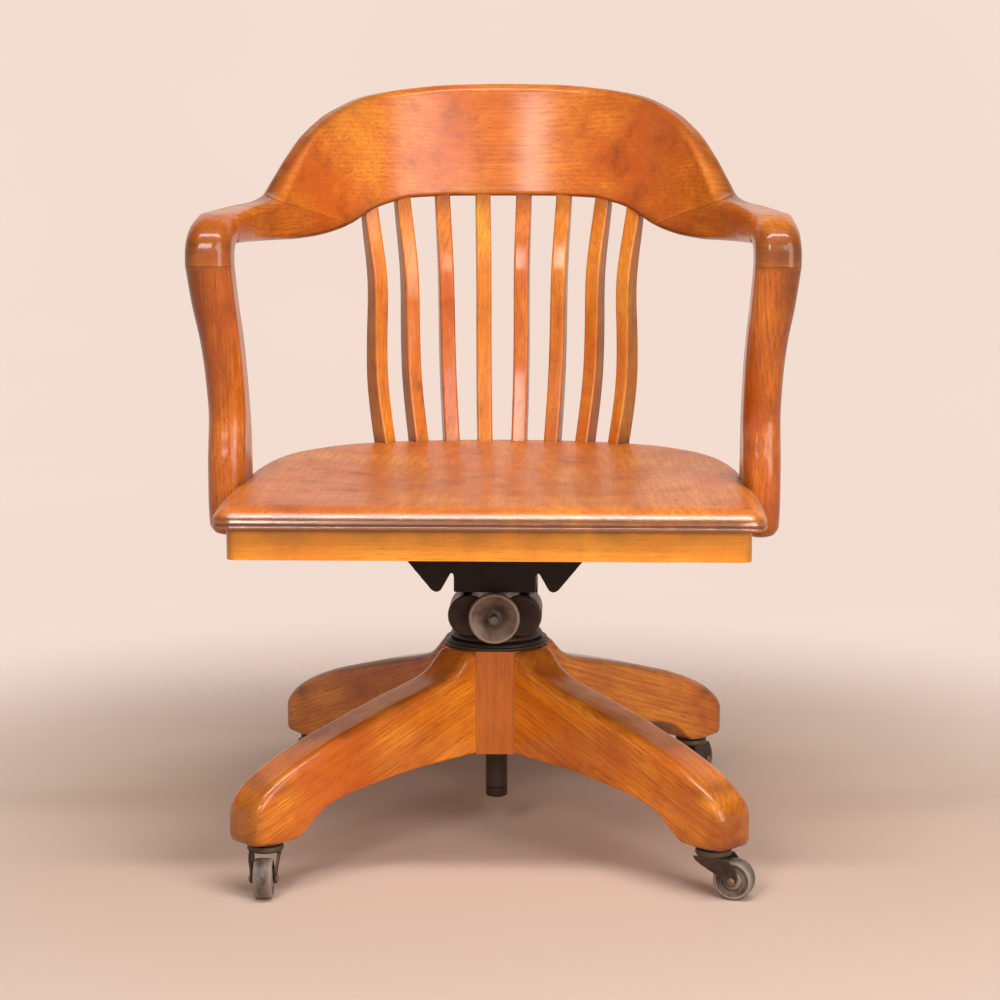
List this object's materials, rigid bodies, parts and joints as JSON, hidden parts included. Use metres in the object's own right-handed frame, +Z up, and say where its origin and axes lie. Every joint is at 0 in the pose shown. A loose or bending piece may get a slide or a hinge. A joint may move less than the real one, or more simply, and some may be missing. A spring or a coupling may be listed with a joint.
{
  "type": "swivel armchair",
  "caption": "Wooden office armchair with a bent crest, flat back slats and a saddle seat, on a tilting iron and a legged hub with casters.",
  "frame": {"origin": "on the floor under the swivel axis", "axes": "+Z up along the swivel axis, the chair faces -Y, +X is to the right as it is looked at from the front"},
  "size_m": [0.627, 0.5425, 0.8267],
  "materials": {
    "oak": "satin varnish",
    "seat_oak": "worn satin varnish",
    "cast_iron": "brown satin",
    "black_iron": "black satin",
    "machine_steel": "dark, lightly rusted",
    "caster_steel": "dark, rusted at the axle",
    "wheel_rubber": "matte"
  },
  "bodies": {
    "base": {"hub_column": "oak", "leg_front_left": "oak", "leg_front_right": "oak", "leg_rear_right": "oak", "leg_rear_left": "oak", "hub_sleeve": "black_iron", "hub_ring": "black_iron", "caster_socket_front_left": "caster_steel", "caster_socket_front_right": "caster_steel", "caster_socket_rear_right": "caster_steel", "caster_socket_rear_left": "caster_steel"},
    "swivel": {"swivel_nut": "black_iron"},
    "column": {"spindle": "black_iron", "yoke": "cast_iron", "pivot_shaft": "machine_steel", "pivot_nut": "machine_steel", "tension_spring": "machine_steel"},
    "tension_screw": {"tension_rod": "machine_steel", "tension_knob": "cast_iron", "rod_nut": "machine_steel"},
    "plunger": {"spring_plunger": "machine_steel"},
    "chair": {"seat_iron": "cast_iron", "iron_screw_front_left": "machine_steel", "iron_screw_front_right": "machine_steel", "iron_screw_rear_right": "machine_steel", "iron_screw_rear_left": "machine_steel", "seat_slab": "seat_oak", "apron_front": "oak", "apron_back": "oak", "apron_left": "oak", "apron_right": "oak", "slat_left_1": "oak", "slat_left_2": "oak", "slat_left_3": "oak", "slat_left_4": "oak", "slat_right_1": "oak", "slat_right_2": "oak", "slat_right_3": "oak", "slat_right_4": "oak", "crest_rail": "oak", "arm_left": "oak", "arm_right": "oak", "arm_post_left": "oak", "arm_post_right": "oak"},
    "caster_front_left": {"caster_fork_front_left": "caster_steel", "caster_axle_front_left": "caster_steel"},
    "wheel_front_left": {"caster_wheel_front_left": "wheel_rubber"},
    "caster_front_right": {"caster_fork_front_right": "caster_steel", "caster_axle_front_right": "caster_steel"},
    "wheel_front_right": {"caster_wheel_front_right": "wheel_rubber"},
    "caster_rear_right": {"caster_fork_rear_right": "caster_steel", "caster_axle_rear_right": "caster_steel"},
    "wheel_rear_right": {"caster_wheel_rear_right": "wheel_rubber"},
    "caster_rear_left": {"caster_fork_rear_left": "caster_steel", "caster_axle_rear_left": "caster_steel"},
    "wheel_rear_left": {"caster_wheel_rear_left": "wheel_rubber"}
  },
  "joints": [
    {"name": "seat_swivel", "type": "hinge", "parent": "base", "child": "swivel", "pos_m": [0, 0, 0.2239], "axis": [0, 0, 1], "continuous": true},
    {"name": "height_screw", "type": "slide", "parent": "swivel", "child": "column", "axis": [0, 0, 1], "range_m": [0, 0.1]},
    {"name": "tension_turn", "type": "hinge", "parent": "column", "child": "tension_screw", "pos_m": [0, -0.07, 0.2527], "axis": [0, -1, 0], "range_deg": [-360, 360]},
    {"name": "spring_press", "type": "slide", "parent": "column", "child": "plunger", "axis": [0, -1, 0], "range_m": [0, 0.0125], "deforming": ["tension_spring"]},
    {"name": "seat_tilt", "type": "hinge", "parent": "column", "child": "chair", "pos_m": [0, 0, 0.2997], "axis": [-1, 0, 0], "range_deg": [0, 12], "stiffness_Nm_per_rad": 90, "springref_deg": -11.46},
    {"name": "caster_swivel_front_left", "type": "hinge", "parent": "base", "child": "caster_front_left", "pos_m": [-0.22627, -0.22627, 0.06], "axis": [0, 0, 1], "continuous": true},
    {"name": "wheel_spin_front_left", "type": "hinge", "parent": "caster_front_left", "child": "wheel_front_left", "pos_m": [-0.22551, -0.24826, 0.0205], "axis": [0.9994, 0.0349, 0], "continuous": true},
    {"name": "caster_swivel_front_right", "type": "hinge", "parent": "base", "child": "caster_front_right", "pos_m": [0.22627, -0.22627, 0.06], "axis": [0, 0, 1], "continuous": true},
    {"name": "wheel_spin_front_right", "type": "hinge", "parent": "caster_front_right", "child": "wheel_front_right", "pos_m": [0.24695, -0.2338, 0.0205], "axis": [0.342, 0.9397, 0], "continuous": true},
    {"name": "caster_swivel_rear_right", "type": "hinge", "parent": "base", "child": "caster_rear_right", "pos_m": [0.22627, 0.22627, 0.06], "axis": [0, 0, 1], "continuous": true},
    {"name": "wheel_spin_rear_right", "type": "hinge", "parent": "caster_rear_right", "child": "wheel_rear_right", "pos_m": [0.23727, 0.24533, 0.0205], "axis": [-0.866, 0.5, 0], "continuous": true},
    {"name": "caster_swivel_rear_left", "type": "hinge", "parent": "base", "child": "caster_rear_left", "pos_m": [-0.22627, 0.22627, 0.06], "axis": [0, 0, 1], "continuous": true},
    {"name": "wheel_spin_rear_left", "type": "hinge", "parent": "caster_rear_left", "child": "wheel_rear_left", "pos_m": [-0.23727, 0.24533, 0.0205], "axis": [-0.866, -0.5, 0], "continuous": true}
  ],
  "couplings": [
    {"joint": "spring_press", "follows": "seat_tilt", "m_per_rad": 0.0535}
  ]
}
